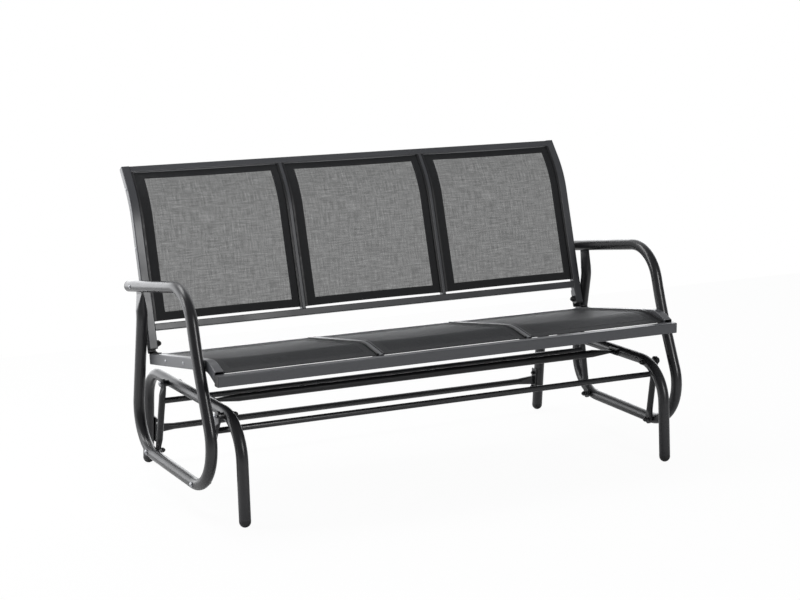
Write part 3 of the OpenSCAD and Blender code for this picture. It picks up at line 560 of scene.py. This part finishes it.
@dataclass
class Panel:
    """One sling panel: its cloth, its hems and its stitches, in mm.

    The middle sags by sag, and the free ends bow in by bow. At the free ends end_sag of the sag is
    left. The panel's middle lies at map_middle in its UV map, so that the map has no negative places.
    """

    row: Row
    place_name: str
    middle: float
    line: BentLine
    half_width: float
    hems: Hems
    sag: float
    bow: float
    finish: Finish
    stitching: Stitching = Stitching()
    thickness: float = 0.8
    hem_thickness: float = 1.6
    fold_width: float = 0.5
    fold_degrees: float = 60.0
    smooth_degrees: float = 35.0
    end_sag: float = 0.35
    map_middle: float = 500.0
    columns: int = 40
    rows: int = 44

    def point(self, across: float, run: float, lift: float = 0.0) -> Vector:
        """Map a point of the flat cloth into the frame.

        Args:
            across: Distance from the panel's middle, in mm.
            run: Distance along the cloth from its start, in mm.
            lift: Distance above the cloth, in mm.

        Returns:
            The point in metres.
        """
        whole = self.line.length()
        u = across / self.half_width
        v = run / whole
        slack = (1 - u * u) * self.bow
        inner = slack + v * (whole - 2 * slack) if self.row is Row.BACK else v * (whole - slack)
        spot, way = self.line.at(inner)
        side = Vector((-way.y, way.x)) * (-1 if self.row is Row.SEAT else 1)
        drop = self.sag * (1 - u * u) * min(1.0, 4 * v * (1 - v) + self.end_sag)
        moved = spot + side * (lift - drop)
        return Vector(((self.middle + across) * MM, moved.x * MM, moved.y * MM))

    def _inner_edges(self) -> tuple[Pair, Pair]:
        """Find the inner edges of the hems.

        Returns:
            The left and the right one across the panel, and the first and the last one along it.
        """
        across = (self.hems.left - self.half_width, self.half_width - self.hems.right)
        return across, (self.hems.start, self.line.length() - self.hems.end)

    def _grid(self, name: str, stops_x: list[float], stops_s: list[float]) -> bpy.types.Object:
        """Add a grid and lay it on the panel's surface.

        Args:
            name: The object's name.
            stops_x: Places of the grid lines across the panel, in mm.
            stops_s: Places of the grid lines along the panel, in mm.

        Returns:
            The new object, with a UV map in metres of flat cloth.
        """
        nx, ns = len(stops_x) - 1, len(stops_s) - 1
        bpy.ops.object.select_all(action="DESELECT")
        bpy.ops.mesh.primitive_grid_add(x_subdivisions=nx, y_subdivisions=ns, size=1, calc_uvs=True)
        made = bpy.context.active_object
        made.name = name
        mesh = made.data
        flat = []
        for vertex in mesh.vertices:
            across = stops_x[round((vertex.co.x + 0.5) * nx)]
            run = stops_s[round((vertex.co.y + 0.5) * ns)]
            flat.append((across, run))
            vertex.co = self.point(across, run)
        layer = mesh.uv_layers.active or mesh.uv_layers.new()
        layer.name = "UVMap"
        for loop in mesh.loops:
            across, run = flat[loop.vertex_index]
            layer.data[loop.index].uv = ((across + self.map_middle) * MM, run * MM)
        return made

    @staticmethod
    def _stops(start: float, end: float, count: int, extra: Pair) -> list[float]:
        """Space grid lines evenly and add some at given places.

        Args:
            start: First line.
            end: Last line.
            count: Number of even steps.
            extra: Places that also get a line, in whose stead even lines close by are left out.

        Returns:
            Sorted places.
        """
        even = [start + (end - start) * k / count for k in range(count + 1)]
        close = 0.45 * (end - start) / count
        kept = [e for e in even if all(abs(e - x) > close for x in extra)]
        return sorted({start, end, *kept, *extra})

    def build(self, body: str) -> None:
        """Build the cloth, the hems and the stitches.

        Args:
            body: The CAD body that carries the panel.
        """
        whole = self.line.length()
        edges_x, edges_s = self._inner_edges()
        xs = self._stops(-self.half_width, self.half_width, self.columns, edges_x)
        ss = self._stops(0.0, whole, self.rows, edges_s)
        base = f"{self.row.value}_{self.place_name}"
        cloth = self._grid(f"{base}_sling_cloth", xs, ss)
        self._wall(cloth, self.thickness)
        hem = self._grid(f"{base}_sling_hem", xs, ss)
        self._open_middle(hem)
        self._wall(hem, self.hem_thickness)
        self._round_edges(hem)
        seams = self._stitches(f"{base}_sling_stitches")
        finish_piece(cloth, body, self.finish)
        finish_piece(hem, body, HEM)
        finish_piece(seams, body, THREAD)
        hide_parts(f"{self.row.value}_sling_{self.place_name}")

    def _wall(self, obj: bpy.types.Object, thickness: float) -> None:
        """Give a sheet its thickness on both sides and shade it smooth.

        Args:
            obj: The sheet.
            thickness: Its thickness in mm.
        """
        only(obj)
        bpy.ops.object.mode_set(mode="EDIT")
        bpy.ops.mesh.select_all(action="SELECT")
        bpy.ops.mesh.normals_make_consistent(inside=False)
        bpy.ops.object.mode_set(mode="OBJECT")
        wall = obj.modifiers.new("wall", "SOLIDIFY")
        wall.thickness = thickness * MM
        wall.offset = 0
        bpy.ops.object.modifier_apply(modifier=wall.name)
        bpy.ops.object.shade_smooth_by_angle(angle=math.radians(self.smooth_degrees))

    def _open_middle(self, obj: bpy.types.Object) -> None:
        """Cut the middle out of a hem, so that a band stays along each edge.

        Args:
            obj: The hem's sheet.
        """
        only(obj)
        bpy.ops.object.mode_set(mode="EDIT")
        bpy.ops.mesh.select_mode(type="FACE")
        bpy.ops.mesh.select_all(action="DESELECT")
        bpy.ops.object.mode_set(mode="OBJECT")
        (left, right), (first, last) = self._inner_edges()
        layer = obj.data.uv_layers.active.data
        for face in obj.data.polygons:
            us = [layer[i].uv for i in face.loop_indices]
            across = sum(u.x for u in us) / len(us) / MM - self.map_middle
            run = sum(u.y for u in us) / len(us) / MM
            face.select = left < across < right and first < run < last
        bpy.ops.object.mode_set(mode="EDIT")
        bpy.ops.mesh.delete(type="FACE")
        bpy.ops.object.mode_set(mode="OBJECT")

    def _round_edges(self, obj: bpy.types.Object) -> None:
        """Soften the folded edges of a hem.

        Args:
            obj: The hem.
        """
        only(obj)
        soft = obj.modifiers.new("fold", "BEVEL")
        soft.width = self.fold_width * MM
        soft.segments = 2
        soft.limit_method = "ANGLE"
        soft.angle_limit = math.radians(self.fold_degrees)
        bpy.ops.object.modifier_apply(modifier=soft.name)

    def _one_stitch(self, name: str) -> bpy.types.Object:
        """Model one stitch as a rounded block of size one.

        Args:
            name: The object's name.

        Returns:
            The new object.
        """
        bpy.ops.object.select_all(action="DESELECT")
        bpy.ops.mesh.primitive_cube_add(size=1)
        made = bpy.context.active_object
        made.name = name
        bpy.ops.object.mode_set(mode="EDIT")
        bpy.ops.mesh.bevel(offset=self.stitching.rounding, segments=1, affect="EDGES")
        bpy.ops.object.mode_set(mode="OBJECT")
        return made

    def _stitches(self, name: str) -> bpy.types.Object:
        """Sew a row of stitches beside the inner edge of each hem, on the upper side.

        Args:
            name: The object's name.

        Returns:
            The new object.
        """
        made = self._one_stitch(name)
        one = [v.co.copy() for v in made.data.vertices]
        faces = [list(p.vertices) for p in made.data.polygons]
        sewn = self.stitching
        (left, right), (first, last) = self._inner_edges()
        left, right = left - sewn.inset, right + sewn.inset
        first, last = first - sewn.inset, last + sewn.inset
        lines = [((left, first), (left, last)), ((right, first), (right, last)),
                 ((left, first), (right, first)), ((left, last), (right, last))]
        graph = bmesh.new()
        for (x0, s0), (x1, s1) in lines:
            span = math.hypot(x1 - x0, s1 - s0)
            lengthwise = x0 == x1
            for k in range(int(span / sewn.pitch)):
                share = (k + 0.5) * sewn.pitch / span
                x, s = x0 + (x1 - x0) * share, s0 + (s1 - s0) * share
                corners = []
                for co in one:
                    a, b = co.x * sewn.length, co.y * sewn.width
                    dx, ds = (b, a) if lengthwise else (a, b)
                    lift = self.hem_thickness / 2 + co.z * sewn.height + sewn.lift
                    corners.append(graph.verts.new(self.point(x + dx, s + ds, lift)))
                for face in faces:
                    graph.faces.new([corners[i] for i in (face[::-1] if lengthwise else face)])
        bmesh.ops.recalc_face_normals(graph, faces=graph.faces)
        graph.to_mesh(made.data)
        graph.free()
        return made


@dataclass
class Slings:
    """All the panels of the seat and of the back, in mm, along the CAD's side rails and posts."""

    body: str = "seat"
    panel_pitch: float = 470.667
    half_width: float = 227.8
    seat_line: BentLine = BentLine((148.339, 365.434), (-194.542, 419.741), (-287.8, 403.3), 165.3)
    back_line: BentLine = BentLine((201.915, 451.474), (300.681, 778.605), (360.639, 853.982), 295.3)
    seat_hems: Hems = Hems(left=32.0, right=28.0, start=24.0, end=30.0)
    back_hems: Hems = Hems(left=34.0, right=27.0, start=24.0, end=20.0)

    def build(self) -> None:
        """Build every panel."""
        for name, steps in (("left", -1), ("centre", 0), ("right", 1)):
            middle = steps * self.panel_pitch
            # The seat panels take the weave that is closed as painted shade.
            Panel(Row.SEAT, name, middle, self.seat_line, self.half_width, self.seat_hems,
                  sag=3.0, bow=3.0, finish=PAINTED_SHADE_SEAT_MESH).build(self.body)
            Panel(Row.BACK, name, middle, self.back_line, self.half_width, self.back_hems,
                  sag=2.0, bow=1.5, finish=BACK_MESH).build(self.body)


@dataclass
class Carried:
    """Finishes of the CAD nodes that show as they are."""

    frame: dict[str, bpy.types.Object]

    def build(self) -> None:
        """Give every CAD node its finish, which is the frame's coat where the plan names no other."""
        plan: dict[Finish, tuple[str, ...]] = {
            TUBE_COAT: ("left_arch", "right_arch", "left_arm_loop", "right_arm_loop", "front_link_left",
                        "front_link_right", "front_link_tie", "rear_link_left", "rear_link_right",
                        "rear_link_tie", "rear_stretcher"),
            # The front stretcher's coat is darkened as painted shade for the seat's shadow.
            PAINTED_SHADE_STRETCHER_COAT: ("front_stretcher",),
            FOOT_PLASTIC: ("foot_caps", "post_end_caps", "rail_end_caps"),
            # The end plugs' lighter colour is painted light.
            PAINTED_LIGHT_END_PLASTIC: ("arm_end_caps",),
            BLACK_NYLON: ("upper_pivot_nuts", "upper_pivot_bushings", "lower_pivot_nuts",
                          "lower_pivot_spacers", "post_bolts"),
            BLACK_STEEL: ("stretcher_bolts", "back_brackets", "bracket_bolts", "seat_bolts"),
            ZINC: ("upper_pivot_bolts", "lower_pivot_bolts", "arm_bolts", "sling_screws"),
            TRACK_VINYL: ("seat_sling_tracks", "back_sling_tracks"),
        }
        finish_of = {node: finish for finish, nodes in plan.items() for node in nodes}
        for name, obj in self.frame.items():
            finish = finish_of.get(name, FRAME_COAT)
            obj.data.materials.clear()
            obj.data.materials.append(finish.build())
            LOG.info("node %s gets %s", name, finish.title)


def aimed(at: Point, aim: Point) -> tuple[float, float, float]:
    """Turn a lamp or a camera towards a place.

    Args:
        at: Where it stands.
        aim: Where it points.

    Returns:
        Its Euler rotation in radians.
    """
    return tuple((Vector(aim) - Vector(at)).to_track_quat("-Z", "Y").to_euler())


@dataclass(frozen=True)
class SoftBox:
    """A soft box: its place, aim, width and height in metres, and its power in watts."""

    name: str
    at: Point
    aim: Point
    size: Pair
    power: float

    def hang(self) -> None:
        """Hang the lamp where the camera doesn't see it."""
        data = bpy.data.lights.new(self.name, "AREA")
        data.shape = "RECTANGLE"
        data.size, data.size_y = self.size
        data.energy = self.power
        lamp = bpy.data.objects.new(self.name, data)
        bpy.context.scene.collection.objects.link(lamp)
        lamp.location = self.at
        lamp.visible_camera = False
        lamp.rotation_euler = aimed(self.at, self.aim)


@dataclass
class Studio:
    """Floor, backdrop, lamps and camera, in metres.

    The room is dim, with a lit wall behind the bench that the coats mirror at low angles. Wall_side,
    wall_top and wall_foot are stretches of the direction of view, whose parts run from -1 to 1. The
    wall sets in over wall_side along Y, and along Z it fades to top_share and foot_share.
    """

    camera_at: Point = (-2.6006, -4.8371, 1.5622)
    target: Point = (-0.0229, 0.0, 0.4860)
    lens_mm: float = 87.08
    sensor_mm: float = 36.0
    reach: float = 100.0
    wall: float = 2.9
    room: float = 0.19
    room_tint: str = "#fcfdff"
    wall_side: Pair = (0.0, 0.6)
    wall_top: Pair = (0.3, 0.5)
    top_share: float = 0.3
    wall_foot: Pair = (-0.22, -0.14)
    foot_share: float = 0.45
    floor_size: float = 7.0
    floor_at: Point = (0.0, -1.6, 0.0)
    floor_paint: str = "#ededed"
    floor_roughness: float = 0.9
    floor_shine: float = 0.1
    floor_white: float = 0.95
    soft_boxes: tuple[SoftBox, ...] = (
        SoftBox("left strip", (-2.9, 0.8, 1.9), (-0.4, 0.1, 0.6), (0.5, 1.6), 26.0),
        SoftBox("front fill", (1.0, -4.6, 2.4), (0.0, 0.0, 0.4), (0.8, 1.6), 78.0),
        SoftBox("top", (-0.9, 0.9, 2.6), (-0.3, 0.1, 0.6), (1.6, 0.9), 30.0),
    )

    def build(self) -> None:
        """Build the whole set."""
        self._floor()
        self._world()
        for box in self.soft_boxes:
            box.hang()
        self._camera()

    def _floor(self) -> None:
        """Lay a pale floor that is almost plain white to the camera and keeps a faint shadow."""
        bpy.ops.object.select_all(action="DESELECT")
        bpy.ops.mesh.primitive_plane_add(size=self.floor_size, location=self.floor_at)
        floor = bpy.context.active_object
        floor.name = "floor"
        made = bpy.data.materials.new("pale floor")
        made.use_nodes = True
        tree = made.node_tree
        surface = tree.nodes["Principled BSDF"]
        surface.inputs["Base Color"].default_value = linear(self.floor_paint)
        surface.inputs["Roughness"].default_value = self.floor_roughness
        surface.inputs["Specular IOR Level"].default_value = self.floor_shine
        glow = place(tree, "ShaderNodeEmission", {"Color": linear("#ffffff"), "Strength": 1.0})
        path = place(tree, "ShaderNodeLightPath")
        seen = place(tree, "ShaderNodeMath", {"operation": "MULTIPLY", 1: self.floor_white},
                     {0: path.outputs["Is Camera Ray"]})
        mixed = place(tree, "ShaderNodeMixShader", {},
                      {0: seen.outputs[0], 1: surface.outputs[0], 2: glow.outputs[0]})
        tree.links.new(mixed.outputs[0], tree.nodes["Material Output"].inputs["Surface"])
        floor.data.materials.append(made)

    def _world(self) -> None:
        """Make a dim room with a lit wall behind the bench, which the camera sees as plain white."""
        world = bpy.data.worlds.new("studio")
        world.use_nodes = True
        bpy.context.scene.world = world
        tree = world.node_tree
        tree.nodes.clear()
        way = place(tree, "ShaderNodeSeparateXYZ", {},
                    {"Vector": place(tree, "ShaderNodeTexCoord").outputs["Generated"]})
        behind = place(tree, "ShaderNodeMapRange",
                       {"From Min": self.wall_side[0], "From Max": self.wall_side[1],
                        "To Min": 0.0, "To Max": self.wall}, {"Value": way.outputs["Y"]})
        top_fade = place(tree, "ShaderNodeMapRange",
                         {"From Min": self.wall_top[0], "From Max": self.wall_top[1],
                          "To Min": 1.0, "To Max": self.top_share}, {"Value": way.outputs["Z"]})
        foot_fade = place(tree, "ShaderNodeMapRange",
                          {"From Min": self.wall_foot[0], "From Max": self.wall_foot[1],
                           "To Min": self.foot_share, "To Max": 1.0}, {"Value": way.outputs["Z"]})
        fade = place(tree, "ShaderNodeMath", {"operation": "MULTIPLY"},
                     {0: top_fade.outputs["Result"], 1: foot_fade.outputs["Result"]})
        light = place(tree, "ShaderNodeMath", {"operation": "MULTIPLY_ADD", 2: self.room},
                      {0: behind.outputs["Result"], 1: fade.outputs[0]})
        room = place(tree, "ShaderNodeBackground", {"Color": linear(self.room_tint)},
                     {"Strength": light.outputs[0]})
        white = place(tree, "ShaderNodeBackground", {"Color": linear("#ffffff"), "Strength": 1.0})
        path = place(tree, "ShaderNodeLightPath")
        seen = place(tree, "ShaderNodeMath", {"operation": "MAXIMUM"},
                     {0: path.outputs["Is Camera Ray"], 1: path.outputs["Is Transmission Ray"]})
        mixed = place(tree, "ShaderNodeMixShader", {},
                      {0: seen.outputs[0], 1: room.outputs[0], 2: white.outputs[0]})
        place(tree, "ShaderNodeOutputWorld", {}, {"Surface": mixed.outputs[0]})

    def _camera(self) -> None:
        """Stand the camera where the photograph was taken from."""
        data = bpy.data.cameras.new("camera")
        data.sensor_width = self.sensor_mm
        data.lens = self.lens_mm
        data.clip_end = self.reach
        camera = bpy.data.objects.new("camera", data)
        bpy.context.scene.collection.objects.link(camera)
        camera.location = self.camera_at
        camera.rotation_euler = aimed(self.camera_at, self.target)
        bpy.context.scene.camera = camera


def main() -> None:
    """Build the bench's looks around the CAD frame."""
    logging.basicConfig(level=logging.INFO, format="%(message)s")
    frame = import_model()
    Carried(frame["nodes"]).build()
    Slings().build()
    Studio().build()
    bpy.context.scene.view_settings.view_transform = "Standard"


if __name__ == "__main__":
    main()
